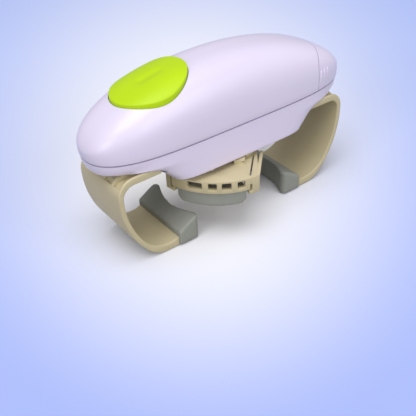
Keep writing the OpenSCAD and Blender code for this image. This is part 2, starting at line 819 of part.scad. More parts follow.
// One jaw, facing along +X, with its rack on the +Y side. The racks pass over the other jaw.
own_side = 5;
far_side = 28.6;
rack_from = -15.6;
rack_to = 21;
pad_half_a = 29.4;

module sector(r0, r1, h, a0, a1) {
    rotate([0, 0, a0]) rotate_extrude(angle = a1 - a0) translate([r0, 0]) square([r1 - r0, h]);
}

module jaw() {
    half_w = jaw_r * sin(jaw_half_a);
    block_a = 31.5;
    block_drop = 3;
    window_h = 4.3;
    window_z = jaw_top - 1 - window_h;
    window_r = 0.8;
    windows = [[-19, -6.4], [-1.7, 5.3], [9.1, 16.8], [21.5, 28]];
    hook_a = [block_a + 3.4, block_a + 1.4];
    hook_w = 1.4;
    hook_in = 3;
    hook_z = jaw_foot - 1.2;
    hook_h = [jaw_top - 1.5 - hook_z, 4.6];
    slot_y = 21.2;
    color(BEIGE) difference() {
        union() {
            translate([0, 0, jaw_under]) intersection() {
                cylinder(r = jaw_r, h = jaw_plate_t);
                union() {
                    translate([own_side, 0.3, 0]) cube([jaw_r, half_w - 0.3, jaw_plate_t]);
                    translate([far_side, -half_w, 0]) cube([jaw_r, half_w + 1, jaw_plate_t]);
                }
            }
            translate([0, 0, jaw_foot])
                sector(jaw_r - jaw_wall_t, jaw_r, jaw_wall_h, -jaw_half_a, jaw_half_a);
            for (side = [-1, 1])
                translate([0, 0, jaw_foot - block_drop])
                    sector(lid_r + 2.2, jaw_r, jaw_wall_h + block_drop,
                        side > 0 ? block_a : -jaw_half_a, side > 0 ? jaw_half_a : -block_a);
            translate([own_side + 0.5, half_w - 1.6, jaw_under])
                cube([jaw_r * cos(jaw_half_a) - own_side - 1, 1.6, jaw_plate_t + 0.2]);
            translate([rack_from, 0, rack_z]) difference() {
                translate([0, jaw_pinion_r + tooth_in, 0])
                    cube([rack_to - rack_from, rack_back - jaw_pinion_r - tooth_in, rack_top - rack_z]);
                translate([-1, rack_back - rib_in - 0.25, rack_mid - rib_h / 2 - 0.3 - rack_z])
                    cube([rack_to - rack_from + 2, 2, rib_h + 0.6]);
            }
            translate([0, jaw_pinion_r, rack_z]) rack_teeth(rack_from, rack_to - 0.5, rack_top - rack_z);
            translate([own_side, jaw_pinion_r + tooth_in + 0.3, jaw_top - 0.1])
                cube([rack_to - own_side, rack_back - jaw_pinion_r - tooth_in - 0.3, rack_z -
                    jaw_top + 0.2]);
        }
        for (w = windows) rotate([0, 0, (w[0] + w[1]) / 2])
            let (half = jaw_r * sin((w[1] - w[0]) / 2))
            translate([jaw_r - jaw_wall_t - 1, 0, window_z]) rotate([90, 0, 90])
                linear_extrude(jaw_wall_t + 2)
                offset(r = window_r, $fn = 24) offset(delta = -window_r)
                translate([-half, 0]) square([2 * half, window_h]);
        for (i = [0, 1]) rotate([0, 0, (2 * i - 1) * hook_a[i]])
            translate([jaw_r - hook_in, 0, hook_z]) rotate([90, 0, 90]) linear_extrude(hook_in + 1) {
                translate([-hook_w / 2, 0]) square([hook_w, hook_h[i]]);
                translate([-i * hook_w, 0]) square([hook_w, hook_w]);
            }
        translate([9.6, slot_y - 0.5, jaw_under - 1]) cube([22, 1, jaw_plate_t + 2]);
        translate([0, 0, jaw_under - 1]) linear_extrude(jaw_plate_t + 2)
            polygon([[own_side - 1, slot_y + 1.6], [own_side - 1, half_w - 1.7], [20, half_w - 1.9]]);
    }
}

// The rubber strip behind the jaw's wall and below it.
module jaw_pad() {
    lip_r = jaw_r - 1;
    corner = 5;
    color(RUBBER) difference() {
        rotate([0, 0, -pad_half_a]) rotate_extrude(angle = 2 * pad_half_a)
            polygon([[lid_r, jaw_pad_z], [lip_r - 1.4, jaw_pad_z], [lip_r, jaw_pad_z + 1.2],
                [lip_r, jaw_foot],
                [jaw_r - jaw_wall_t, jaw_foot], [jaw_r - jaw_wall_t, jaw_foot + 1.8],
                    [lid_r, jaw_foot + 1.8]]);
        for (side = [-1, 1]) rotate([0, 0, side * pad_half_a])
            translate([jaw_r, 0, jaw_pad_z]) rotate([45, 0, 0])
                cube([jaw_r, corner, corner], center = true);
    }
}

// ---- Arms ----

foot_x = 52;
foot_r = 18;
foot_sink = 0.25;
sweep_z = arm_top - 12;
corner_r = 10;
arm_end = 46;
arm_inner = 62;
finger_y = [arm_pinion_r + tooth_in, 14];
finger_reach = 17;
tongue_end = 40;
groove_x = 64;
groove_a = 30;
groove_d = 1.4;
groove_z = arm_under + 1;
grooves = [[-19.3, 5.6], [-11.5, 7]];

// The arm's profile in X and Z, for the arm on the +X side.
module arm_profile() {
    foot_z = foot_r - foot_sink;
    sweep_r = (pow(arm_reach - foot_x, 2) + pow(sweep_z - foot_z, 2) - pow(foot_r, 2)) / (2 *
        (arm_reach - foot_x - foot_r));
    sweep_x = arm_reach - sweep_r;
    turn_a = atan2(foot_z - sweep_z, foot_x - sweep_x);
    in_r = sweep_r - arm_band_t;
    rise = sweep_z - arm_foot_t;
    foot_in = (pow(in_r, 2) - pow(sweep_x - foot_x, 2) - pow(rise, 2)) / (2 * (in_r - rise));
    in_a = atan2(arm_foot_t + foot_in - sweep_z, foot_x - sweep_x);
    end_a = asin((foot_x - arm_end) / foot_r);
    end_in = asin((foot_x - arm_end) / foot_in);
    corner_in = corner_r - arm_band_t;
    intersection() {
        polygon(concat(
            [[arm_inner, arm_top]],
            arc(arm_reach - corner_r, arm_top - corner_r, corner_r, 90, 0, 16),
            arc(sweep_x, sweep_z, sweep_r, 0, turn_a, 14),
            arc(foot_x, foot_z, foot_r, turn_a, -90 - end_a, 18),
            arc(foot_x, arm_foot_t + foot_in, foot_in, -90 - end_in, in_a, 16),
            arc(sweep_x, sweep_z, in_r, in_a, 0, 14),
            arc(arm_reach - arm_band_t - corner_in, arm_under - corner_in, corner_in, 0, 90, 12),
            [[arm_inner, arm_under]]));
        translate([0, 0]) square([2 * arm_reach, 2 * arm_top]);
    }
}

module arm() {
    plate_in = 45;
    tail_w = 35;
    tail_l = 8;
    finger_slot = 15;
    floor_r = corner_r - groove_d;
    floor_a = asin((groove_z - arm_top + corner_r) / floor_r);
    color(BEIGE) difference() {
        union() {
            translate([0, arm_w / 2, 0]) rotate([90, 0, 0]) linear_extrude(arm_w) arm_profile();
            translate([plate_in, 0, arm_under]) difference() {
                union() {
                    translate([0, -tail_w / 2, 0])
                        cube([arm_inner - plate_in + 0.1, tail_w, arm_plate_t]);
                    translate([tail_l, -arm_w / 2, 0])
                        cube([arm_inner - plate_in - tail_l + 0.1, arm_w, arm_plate_t]);
                }
                translate([-1, -finger_slot, -1])
                    cube([arm_inner - plate_in + 1, finger_slot + 7, arm_plate_t + 2]);
            }
            translate([-finger_reach, finger_y[0], arm_under])
                cube([arm_inner + finger_reach + 0.1, finger_y[1] - finger_y[0], arm_plate_t]);
            translate([0, arm_pinion_r, arm_under]) rack_teeth(-finger_reach, 34, arm_plate_t);
            translate([tongue_end, -arm_w / 2 + 2, 1.6]) cube([arm_end - tongue_end + 0.6, arm_w - 4, 3]);
        }
        for (g = grooves) for (side = [0, 1]) mirror([0, side, 0])
            translate([0, g[0] + g[1], 0]) rotate([90, 0, 0]) linear_extrude(g[1]) polygon(concat(
                [[groove_x, arm_top + 1]],
                arc(arm_reach - corner_r, arm_top - corner_r, corner_r + 1, 90, groove_a, 6),
                arc(arm_reach - corner_r, arm_top - corner_r, floor_r, groove_a, floor_a, 6),
                [[groove_x, groove_z]]));
    }
}

module right_arm() {
    arm();
}

module left_arm() {
    rotate([0, 0, 180]) arm();
}

// The rubber boot on the end of the +X arm, hollowed to the jar's radius.
module arm_pad() {
    w = arm_w + 3;
    back = arm_end;
    front = arm_end - pad_l;
    foot = 0.5;
    back_h = 9.6;
    nose = 6.5;
    toe = 8;
    edge = 3;
    tip = [sqrt(pow(jar_r + edge, 2) - pow(w / 2 - edge, 2)), w / 2 - edge];
    tip_a = atan2(tip[1], tip[0]);
    recess_l = back - tongue_end + 1;
    color(RUBBER) difference() {
        intersection() {
            translate([0, w / 2, 0]) rotate([90, 0, 0]) linear_extrude(w) polygon(concat(
                [[back, foot], [back, back_h]],
                arc(front + nose, pad_h - nose, nose, 58, 180, 14),
                arc(front + toe, toe + foot, toe, 180, 270, 10)));
            translate([0, 0, -1]) linear_extrude(pad_h + 2) polygon(concat(
                [[back, w / 2], [back, -w / 2]],
                arc(tip[0], -tip[1], edge, 270, 180 - tip_a, 8),
                arc(tip[0], tip[1], edge, 180 + tip_a, 90, 8)));
        }
        translate([0, 0, -1]) cylinder(r = jar_r, h = pad_h + 2, $fn = 128);
        translate([tongue_end - 0.1, -arm_w / 2 + 1.9, 1.5]) cube([recess_l, arm_w - 3.8, 3.2]);
    }
}

module right_arm_pad() {
    arm_pad();
}

module left_arm_pad() {
    rotate([0, 0, 180]) arm_pad();
}

module front_jaw() {
    rotate([0, 0, jaw_dir]) jaw();
}

module back_jaw() {
    rotate([0, 0, jaw_dir + 180]) jaw();
}

module front_jaw_pad() {
    rotate([0, 0, jaw_dir]) jaw_pad();
}

module back_jaw_pad() {
    rotate([0, 0, jaw_dir + 180]) jaw_pad();
}

// ---- Cells ----

cell_from = cell_x + 1.4;
tray_end = cell_x - 1.4;

module battery_tray() {
    half_w = cell_y + cell_d / 2 + 0.1;
    length = cell_l - 3;
    color(DARK) {
        difference() {
            translate([tray_end - tray_wall, -half_w, tray_z + wall])
                cube([length, 2 * half_w, cell_z - tray_z - wall - 1]);
            for (y = [-1, 1]) translate([tray_end, y * cell_y, cell_z]) rotate([0, 90, 0])
                cylinder(r = cell_d / 2 + 0.1, h = length);
            translate([tray_end + 4, -half_w + 3, tray_z]) cube([length - 10, 2 * half_w - 6, wall + 2]);
        }
        translate([tray_end - tray_wall, -half_w, tray_z + wall])
            cube([tray_wall, 2 * half_w, cell_z + cell_d / 2 - tray_z - wall]);
        translate([tray_end - tray_wall, -half_w, frame_top])
            cube([post_x + post_r - tray_end + tray_wall, 6, tray_z + wall - frame_top + 0.1]);
        translate([tray_end - tray_wall, half_w - 6, frame_top])
            cube([post_x + post_r - tray_end + tray_wall, 6, tray_z + wall - frame_top + 0.1]);
    }
}

module battery(y, tip_out) {
    color("#4C5157") translate([cell_from, y, cell_z]) rotate([0, 90, 0]) {
        cylinder(r = cell_d / 2, h = cell_l);
        if (tip_out) translate([0, 0, cell_l - 0.1]) cylinder(r = 2.6, h = cell_tip + 0.1);
        else translate([0, 0, -cell_tip]) cylinder(r = 2.6, h = cell_tip + 0.1);
    }
}

module front_battery() {
    battery(-cell_y, true);
}

module back_battery() {
    battery(cell_y, false);
}

module battery_springs() {
    plate = 0.4;
    color(STEEL) {
        translate([tray_end, -cell_y - 5, cell_z - 5]) cube([plate, 10, 10]);
        translate([tray_end + plate, -cell_y, cell_z]) rotate([0, 90, 0])
            coil(3, 0.35, cell_from - tray_end - plate, 2);
        translate([tray_end, cell_y - 5, cell_z - 5]) cube([cell_from - cell_tip - tray_end, 10, 10]);
    }
}

module contact_bridge() {
    at = cell_from + cell_l + cell_tip;
    color(STEEL) translate([at, -cell_y - 5, cell_z - 4]) cube([0.5, 2 * cell_y + 10, 8]);
    color(STEEL) translate([at - cell_tip, cell_y - 3, cell_z - 3]) cube([cell_tip + 0.1, 6, 6]);
}

module shell_screws() {
    color(STEEL) for (y = [-1, 1]) {
        translate([post_x, y * post_y, plinth_z + head_in]) rotate([180, 0, 0])
            screw(shell_screw_r, shell_head_r, shell_head_h, 24);
        translate([boss_left[0], y * boss_left[1], tray_z + head_in]) rotate([180, 0, 0])
            screw(shell_screw_r, shell_head_r, shell_head_h, 16);
    }
}

lower_shell();
top_shell();
battery_cover();
button();
button_spring();
push_switch();
switch_plunger();
circuit_board();
motor();
motor_shaft();
worm();
motor_bracket();
bracket_screws();
reduction_gear();
gear_pin();
drive_gear();
drive_shaft();
carriage_pinion();
gear_frame();
gear_frame_screws();
arm_pinion();
arm_clutch_disc();
friction_washer();
clutch_plate();
clutch_spring();
shaft_nut();
jaw_shaft();
jaw_carriage();
ring_gear();
carriage_screws();
left_arm();
right_arm();
left_arm_pad();
right_arm_pad();
front_jaw();
back_jaw();
front_jaw_pad();
back_jaw_pad();
battery_tray();
front_battery();
back_battery();
battery_springs();
contact_bridge();
shell_screws();
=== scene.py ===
# %% [markdown]
# # An electric jar opener
# An oval housing with a push button stands on two C-shaped arms. The arms close on the jar, and
# two jaws on a turntable under the housing close on the lid and turn it. The CAD part is loaded
# first, as a frame that nothing here moves: it gives every piece its size and place, and the
# pieces below take its place where a finer shape or surface shows.

# %% Load the CAD part
import json
import math

import bmesh
import bpy
from mathutils import Matrix, Vector

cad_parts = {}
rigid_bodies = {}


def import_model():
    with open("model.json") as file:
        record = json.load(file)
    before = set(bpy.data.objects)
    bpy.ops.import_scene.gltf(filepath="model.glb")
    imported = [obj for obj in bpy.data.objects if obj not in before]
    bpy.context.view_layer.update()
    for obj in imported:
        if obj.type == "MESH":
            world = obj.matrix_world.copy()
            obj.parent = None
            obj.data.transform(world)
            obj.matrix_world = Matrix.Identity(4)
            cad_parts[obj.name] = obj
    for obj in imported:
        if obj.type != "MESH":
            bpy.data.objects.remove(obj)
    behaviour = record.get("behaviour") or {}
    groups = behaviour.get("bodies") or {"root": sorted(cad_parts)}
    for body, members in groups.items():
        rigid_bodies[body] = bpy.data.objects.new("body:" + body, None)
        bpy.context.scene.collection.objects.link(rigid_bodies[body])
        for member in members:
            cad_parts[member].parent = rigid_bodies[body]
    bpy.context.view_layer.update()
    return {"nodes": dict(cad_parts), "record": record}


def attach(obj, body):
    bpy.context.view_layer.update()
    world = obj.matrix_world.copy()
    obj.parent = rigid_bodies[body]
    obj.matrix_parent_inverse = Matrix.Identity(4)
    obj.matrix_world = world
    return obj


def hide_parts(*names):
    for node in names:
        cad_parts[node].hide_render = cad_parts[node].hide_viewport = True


for leftover in list(bpy.data.objects):
    bpy.data.objects.remove(leftover)
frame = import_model()
mm = 0.001

# %% [markdown]
# ## Colours and nodes
# A colour picked from a screen is an sRGB code, but a shader works with linear light, so one
# function turns the code into linear numbers. One more function adds a shader node, makes its
# settings and fills its sockets, with a value or with another node's output.

# %% Colour and node helpers
def srgb(code):
    shares = [int(code[i:i + 2], 16) / 255 for i in (1, 3, 5)]
    return [s / 12.92 if s <= 0.04045 else ((s + 0.055) / 1.055) ** 2.4 for s in shares] + [1]


def put(tree, kind, sockets=None, **settings):
    made = tree.nodes.new(kind)
    for name, value in settings.items():
        setattr(made, name, value)
    for name, value in (sockets or {}).items():
        if isinstance(value, bpy.types.NodeSocket):
            tree.links.new(value, made.inputs[name])
        else:
            made.inputs[name].default_value = value
    return made


def new_finish(name, **sockets):
    finish = bpy.data.materials.new(name)
    finish.use_nodes = True
    tree = finish.node_tree
    shader = tree.nodes["Principled BSDF"]
    for socket, value in sockets.items():
        shader.inputs[socket.replace("_", " ")].default_value = value
    place = put(tree, "ShaderNodeTexCoord").outputs["Object"]
    return finish, tree, shader, place


finishes = {}
print("one millimetre is", mm, "Blender units")

# %% [markdown]
# ## Glossy lilac ABS
# The housing is injection-moulded ABS from a polished mould: a hard, even gloss with soft-edged
# highlights and a very faint unevenness, called orange peel, a few millimetres wide. Colour varies
# only a hair, where the melt flowed.

# %% The housing's plastic
abs_gloss, tree, shader, place = new_finish("glossy lilac ABS", IOR=1.53, Roughness=0.3)
flow = put(tree, "ShaderNodeTexNoise", {"Vector": place, "Scale": 1 / (30 * mm), "Detail": 3.0})
tint = put(tree, "ShaderNodeMix", {"Factor": flow.outputs["Fac"],
                                   "A": srgb("#D6CDE6"), "B": srgb("#DAD2EA")}, data_type="RGBA")
tree.links.new(tint.outputs["Result"], shader.inputs["Base Color"])
peel = put(tree, "ShaderNodeTexNoise", {"Vector": place, "Scale": 1 / (2.5 * mm), "Detail": 2.0})
relief = put(tree, "ShaderNodeBump", {"Height": peel.outputs["Fac"],
                                      "Strength": 0.06, "Distance": 0.1 * mm})
tree.links.new(relief.outputs["Normal"], shader.inputs["Normal"])
smear = put(tree, "ShaderNodeTexNoise", {"Vector": place, "Scale": 1 / (12 * mm), "Detail": 4.0})
rough = put(tree, "ShaderNodeMapRange", {"Value": smear.outputs["Fac"], "To Min": 0.26, "To Max": 0.36})
tree.links.new(rough.outputs["Result"], shader.inputs["Roughness"])
finishes["shell_plastic"] = abs_gloss
print("made", abs_gloss.name)

# %% [markdown]
# ## Satin lime ABS
# The button is the same plastic in a strong lime, with a little less gloss than the housing.

# %% The button's plastic
abs_lime, tree, shader, place = new_finish("satin lime ABS",
                                           IOR=1.5, Roughness=0.42, Specular_IOR_Level=0.35)
flow = put(tree, "ShaderNodeTexNoise", {"Vector": place, "Scale": 1 / (18 * mm), "Detail": 3.0})
tint = put(tree, "ShaderNodeMix", {"Factor": flow.outputs["Fac"],
                                   "A": srgb("#AECE00"), "B": srgb("#B6D700")}, data_type="RGBA")
tree.links.new(tint.outputs["Result"], shader.inputs["Base Color"])
peel = put(tree, "ShaderNodeTexNoise", {"Vector": place, "Scale": 1 / (1.2 * mm), "Detail": 3.0})
relief = put(tree, "ShaderNodeBump", {"Height": peel.outputs["Fac"],
                                      "Strength": 0.1, "Distance": 0.08 * mm})
tree.links.new(relief.outputs["Normal"], shader.inputs["Normal"])
finishes["button_plastic"] = abs_lime
print("made", abs_lime.name)

# %% [markdown]
# ## Matt beige ABS
# Arms and jaws come from a spark-eroded mould, which leaves a fine matt grain of about a third of
# a millimetre.

# %% The arms' and jaws' plastic
abs_beige, tree, shader, place = new_finish("matt beige ABS", IOR=1.53, Roughness=0.5)
flow = put(tree, "ShaderNodeTexNoise", {"Vector": place, "Scale": 1 / (14 * mm), "Detail": 4.0})
tint = put(tree, "ShaderNodeMix", {"Factor": flow.outputs["Fac"],
                                   "A": srgb("#BAAE8C"), "B": srgb("#C2B796")}, data_type="RGBA")
tree.links.new(tint.outputs["Result"], shader.inputs["Base Color"])
grain = put(tree, "ShaderNodeTexNoise", {"Vector": place, "Scale": 1 / (0.35 * mm), "Detail": 2.0})
relief = put(tree, "ShaderNodeBump", {"Height": grain.outputs["Fac"],
                                      "Strength": 0.25, "Distance": 0.05 * mm})
tree.links.new(relief.outputs["Normal"], shader.inputs["Normal"])
finishes["arm_plastic"] = abs_beige
print("made", abs_beige.name)

# %% [markdown]
# ## Grey thermoplastic rubber
# The pads that grip glass and lid are soft moulded rubber: grey, dull, with a dusty fine grain.

# %% The pads' rubber
rubber, tree, shader, place = new_finish("moulded thermoplastic rubber", IOR=1.5, Roughness=0.75)
dust = put(tree, "ShaderNodeTexNoise", {"Vector": place, "Scale": 1 / (6 * mm), "Detail": 5.0})
tint = put(tree, "ShaderNodeMix", {"Factor": dust.outputs["Fac"],
                                   "A": srgb("#868882"), "B": srgb("#93958F")}, data_type="RGBA")
tree.links.new(tint.outputs["Result"], shader.inputs["Base Color"])
grain = put(tree, "ShaderNodeTexNoise", {"Vector": place, "Scale": 1 / (0.5 * mm), "Detail": 3.0})
relief = put(tree, "ShaderNodeBump", {"Height": grain.outputs["Fac"],
                                      "Strength": 0.4, "Distance": 0.08 * mm})
tree.links.new(relief.outputs["Normal"], shader.inputs["Normal"])
finishes["grip_rubber"] = rubber
print("made", rubber.name)

# %% [markdown]
# ## Metals
# Screws, springs and the motor's can are zinc-plated steel with a faint cloudy spangle; worm,
# pinion and nut are turned brass, with fine rings from the lathe.

# %% Steel and brass
steel, tree, shader, place = new_finish("zinc-plated steel", Metallic=1.0, Roughness=0.3)
cloud = put(tree, "ShaderNodeTexNoise", {"Vector": place, "Scale": 1 / (3 * mm), "Detail": 4.0})
tint = put(tree, "ShaderNodeMix", {"Factor": cloud.outputs["Fac"],
                                   "A": srgb("#B4B8BE"), "B": srgb("#C8CCD2")}, data_type="RGBA")
tree.links.new(tint.outputs["Result"], shader.inputs["Base Color"])
rough = put(tree, "ShaderNodeMapRange", {"Value": cloud.outputs["Fac"], "To Min": 0.24, "To Max": 0.4})
tree.links.new(rough.outputs["Result"], shader.inputs["Roughness"])
finishes["steel"] = steel

brass, tree, shader, place = new_finish("turned brass", Metallic=1.0, Roughness=0.3)
rings = put(tree, "ShaderNodeTexNoise", {"Vector": place, "Scale": 1 / (0.6 * mm), "Detail": 2.0})
tint = put(tree, "ShaderNodeMix", {"Factor": rings.outputs["Fac"],
                                   "A": srgb("#C09A48"), "B": srgb("#D4B164")}, data_type="RGBA")
tree.links.new(tint.outputs["Result"], shader.inputs["Base Color"])
relief = put(tree, "ShaderNodeBump", {"Height": rings.outputs["Fac"],
                                      "Strength": 0.2, "Distance": 0.03 * mm})
tree.links.new(relief.outputs["Normal"], shader.inputs["Normal"])
finishes["brass"] = brass
print("made", steel.name, "and", brass.name)

# %% [markdown]
# ## The plastics and linings inside
# Gears and the gear frame are natural nylon, milky and a little translucent; switch and battery
# tray are black ABS; the board is glass laminate under green lacquer; the friction washer is a
# cork-filled rubber, and the cells have a plain painted jacket.

# %% Nylon and black plastic
nylon, tree, shader, place = new_finish("natural nylon",
                                        IOR=1.53, Roughness=0.45,
                                        Subsurface_Weight=0.15, Subsurface_Scale=2 * mm)
milk = put(tree, "ShaderNodeTexNoise", {"Vector": place, "Scale": 1 / (5 * mm), "Detail": 3.0})
tint = put(tree, "ShaderNodeMix", {"Factor": milk.outputs["Fac"],
                                   "A": srgb("#E4E1D6"), "B": srgb("#EEEBE2")}, data_type="RGBA")
tree.links.new(tint.outputs["Result"], shader.inputs["Base Color"])
relief = put(tree, "ShaderNodeBump", {"Height": milk.outputs["Fac"],
                                      "Strength": 0.1, "Distance": 0.1 * mm})
tree.links.new(relief.outputs["Normal"], shader.inputs["Normal"])
finishes["gear_nylon"] = nylon

black, tree, shader, place = new_finish("black ABS", IOR=1.53, Roughness=0.5)
grain = put(tree, "ShaderNodeTexNoise", {"Vector": place, "Scale": 1 / (0.5 * mm), "Detail": 3.0})
tint = put(tree, "ShaderNodeMix", {"Factor": grain.outputs["Fac"],
                                   "A": srgb("#2B2D31"), "B": srgb("#36393E")}, data_type="RGBA")
tree.links.new(tint.outputs["Result"], shader.inputs["Base Color"])
relief = put(tree, "ShaderNodeBump", {"Height": grain.outputs["Fac"],
                                      "Strength": 0.3, "Distance": 0.05 * mm})
tree.links.new(relief.outputs["Normal"], shader.inputs["Normal"])
finishes["dark_plastic"] = black
print("made", nylon.name, "and", black.name)

# %% Board, lining and cell jacket
board, tree, shader, place = new_finish("lacquered glass laminate", IOR=1.5, Roughness=0.35)
weave = put(tree, "ShaderNodeTexNoise", {"Vector": place, "Scale": 1 / (0.8 * mm), "Detail": 2.0})
tint = put(tree, "ShaderNodeMix", {"Factor": weave.outputs["Fac"],
                                   "A": srgb("#1C6136"), "B": srgb("#267343")}, data_type="RGBA")
tree.links.new(tint.outputs["Result"], shader.inputs["Base Color"])
finishes["board"] = board

lining, tree, shader, place = new_finish("cork-filled rubber", IOR=1.5, Roughness=0.85)
cork = put(tree, "ShaderNodeTexVoronoi", {"Vector": place, "Scale": 1 / (0.7 * mm)})
tint = put(tree, "ShaderNodeMix", {"Factor": cork.outputs["Distance"],
                                   "A": srgb("#34302C"), "B": srgb("#55493B")}, data_type="RGBA")
tree.links.new(tint.outputs["Result"], shader.inputs["Base Color"])
finishes["friction_lining"] = lining

jacket, tree, shader, place = new_finish("painted cell jacket", IOR=1.5, Roughness=0.3, Coat_Weight=0.4)
print_grain = put(tree, "ShaderNodeTexNoise", {"Vector": place, "Scale": 1 / (4 * mm), "Detail": 2.0})
tint = put(tree, "ShaderNodeMix", {"Factor": print_grain.outputs["Fac"],
                                   "A": srgb("#45494E"), "B": srgb("#50555B")}, data_type="RGBA")
tree.links.new(tint.outputs["Result"], shader.inputs["Base Color"])
finishes["cell_jacket"] = jacket
print("made", board.name, lining.name, jacket.name)

# %% [markdown]
# ## Finishes for the whole frame
# The record names a finish for every CAD node, and each node gets it in its own material slots.
# The nodes that no piece below replaces, such as gears and screws, keep their exact CAD shape.

# %% Give every CAD node its finish
slot_of = {part["node"]: part["material_slot"] for part in frame["record"]["subparts"]}
for node_name, cad_node in frame["nodes"].items():
    for index in range(len(cad_node.data.materials)):
        cad_node.data.materials[index] = finishes[slot_of[node_name]]
print("finished", len(slot_of), "nodes in", len(finishes), "finishes")

# %% [markdown]
# ## Modelling helpers
# An operator works on whatever is selected, so each step starts by selecting one object alone.
# Corners of a loop carry a number, which extruding copies, so a loop can be extruded and each of
# its corners sent to a known place. That turns a circle into any shape drawn as a stack of rings.

# %% Starting, selecting, finishing and handing over a piece
def start_with(add, **settings):
    bpy.ops.object.select_all(action="DESELECT")
    add(**settings)
    return bpy.context.object


def only(obj):
    bpy.ops.object.select_all(action="DESELECT")
    obj.select_set(True)
    bpy.context.view_layer.objects.active = obj


def apply_modifier(obj, kind, **settings):
    only(obj)
    modifier = obj.modifiers.new(kind.title(), kind)
    for name, value in settings.items():
        setattr(modifier, name, value)
    bpy.ops.object.modifier_apply(modifier=modifier.name)


def tidy_mesh(obj, merge=0.001 * mm):
    only(obj)
    bpy.ops.object.mode_set(mode="EDIT")
    bpy.ops.mesh.select_all(action="SELECT")
    bpy.ops.mesh.remove_doubles(threshold=merge)
    bpy.ops.mesh.normals_make_consistent(inside=False)
    bpy.ops.object.mode_set(mode="OBJECT")


def hand_over(obj, slot, body, *nodes, angle=35):
    only(obj)
    obj.data.materials.clear()
    obj.data.materials.append(finishes[slot])
    bpy.ops.object.shade_smooth_by_angle(angle=math.radians(angle))
    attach(obj, body)
    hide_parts(*nodes)
    print(obj.name, "has", len(obj.data.polygons), "faces")


# %% Stacking rings
def stack_rings(name, rings):
    obj = start_with(bpy.ops.mesh.primitive_circle_add, vertices=len(rings[0]), radius=1)
    obj.name = name
    number = obj.data.attributes.new("number", "INT", "POINT")
    number.data.foreach_set("value", list(range(len(rings[0]))))
    bpy.ops.object.mode_set(mode="EDIT")
    bpy.ops.mesh.select_mode(type="VERT")
    bpy.ops.mesh.select_all(action="SELECT")
    for index, ring in enumerate(rings):
        if index:
            bpy.ops.mesh.extrude_region_move()
        mesh = bmesh.from_edit_mesh(obj.data)
        order = mesh.verts.layers.int["number"]
        for corner in mesh.verts:
            if corner.select:
                corner.co = Vector(ring[corner[order]]) * mm
        bmesh.update_edit_mesh(obj.data)
    bpy.ops.object.mode_set(mode="OBJECT")
    obj.data.attributes.remove(obj.data.attributes["number"])
    return obj


print("helpers ready")

# %% [markdown]
# ## The housing's outline
# Seen from above the housing is a long oval with full shoulders: flatter along the sides than an
# ellipse and blunt at the ends. Seen from the side the crown runs from end to end in one low arch,
# fuller over the button and more pointed at the battery end. Both follow the rule of a
# superellipse, whose powers decide how full the corners are.

# %% Sizes and rules of the housing, in millimetres
half_l, half_w = 86.5, 24.5
parting, widest = 64.0, 68.0
rim_h = widest - parting
crown_h = 31.4
wall = 2.2
end_power, side_power = 4.3, 2.45
button_end_power, battery_end_power, crown_power = 2.25, 1.88, 1.68
section_power = 2.9
tuck_r, tray_step = 24, 0.3


def side(share, half_width):
    return half_width * max(1 - abs(share) ** end_power, 0) ** (1 / side_power)


def crown(share):
    power = battery_end_power if share > 0 else button_end_power
    return max(1 - abs(share) ** power, 0) ** (1 / crown_power)


def dome_height(x, y, grow):
    share = x / (half_l + grow)
    across = min(abs(y) / max(side(share, half_w + grow), 1e-6), 1)
    arch = (1 - across ** section_power) ** (1 / section_power)
    return widest + (crown_h + grow) * crown(share) * arch


def tuck(depth):
    return half_w * (1 - math.sqrt(1 - (depth / tuck_r) ** 2))


lower_l = half_l - tuck(rim_h) - tray_step
print("the dome's highest point:", round(dome_height(0, 0, 0), 1), "mm")

# %% [markdown]
# ## The upper housing and the battery lid
# The real dome is one moulding with an oval hole for the button, and the battery lid carries its
# curve on to the end. A UV sphere with its poles at the ends already has the right flow of faces:
# its corners move onto the dome's rule, the lower half is cut away, and the rim is extruded down
# and drawn in to the parting line. Solidify gives the wall, and the lid is cut from the same
# shell so that both meet without a step. Three small grip ribs are joined to each of its sides.

# %% The dome
dome = start_with(bpy.ops.mesh.primitive_uv_sphere_add,
                  segments=176, ring_count=120, radius=1, rotation=(0, math.pi / 2, 0))
dome.name = "upper_housing"
bpy.ops.object.transform_apply(rotation=True)
for corner in dome.data.vertices:
    x, y, z = corner.co
    around = math.hypot(y, z)
    if around > 1e-6:
        c, s = y / around, z / around
        reach = (abs(c) ** section_power + abs(s) ** section_power) ** (-1 / section_power)
        y, z = side(x, half_w) * reach * c, crown_h * crown(x) * reach * s
    corner.co = Vector((half_l * x, y, widest + z)) * mm
bpy.ops.object.mode_set(mode="EDIT")
bpy.ops.mesh.select_all(action="SELECT")
bpy.ops.mesh.bisect(plane_co=(0, 0, widest * mm), plane_no=(0, 0, 1), clear_inner=True)
bpy.ops.mesh.select_mode(type="VERT")
bpy.ops.mesh.select_all(action="DESELECT")
bpy.ops.object.mode_set(mode="OBJECT")
for corner in dome.data.vertices:
    corner.select = abs(corner.co.z - widest * mm) < 1e-6
bpy.ops.object.mode_set(mode="EDIT")
rows = 8
for row in range(1, rows + 1):
    depth, above = rim_h * row / rows, rim_h * (row - 1) / rows
    bpy.ops.mesh.extrude_region_move(TRANSFORM_OT_translate={"value": (0, 0, -(depth - above) * mm)})
    shrink = [(half - tuck(depth)) / (half - tuck(above)) for half in (half_l, half_w)]
    bpy.ops.transform.resize(value=(shrink[0], shrink[1], 1), center_override=(0, 0, 0))
bpy.ops.object.mode_set(mode="OBJECT")
tidy_mesh(dome)
apply_modifier(dome, "SOLIDIFY", thickness=wall * mm, offset=-1, use_even_offset=True)
print("dome:", [round(n / mm, 2) for n in dome.dimensions], "mm")

# %% The cutters for the seam and the button's hole
seam_x, seam_bow, bow_half, seam_gap = 57, 7.5, 22, 0.3
cutter_half, cutter_end, cutter_foot, cutter_h = 30, 95, 58, 50


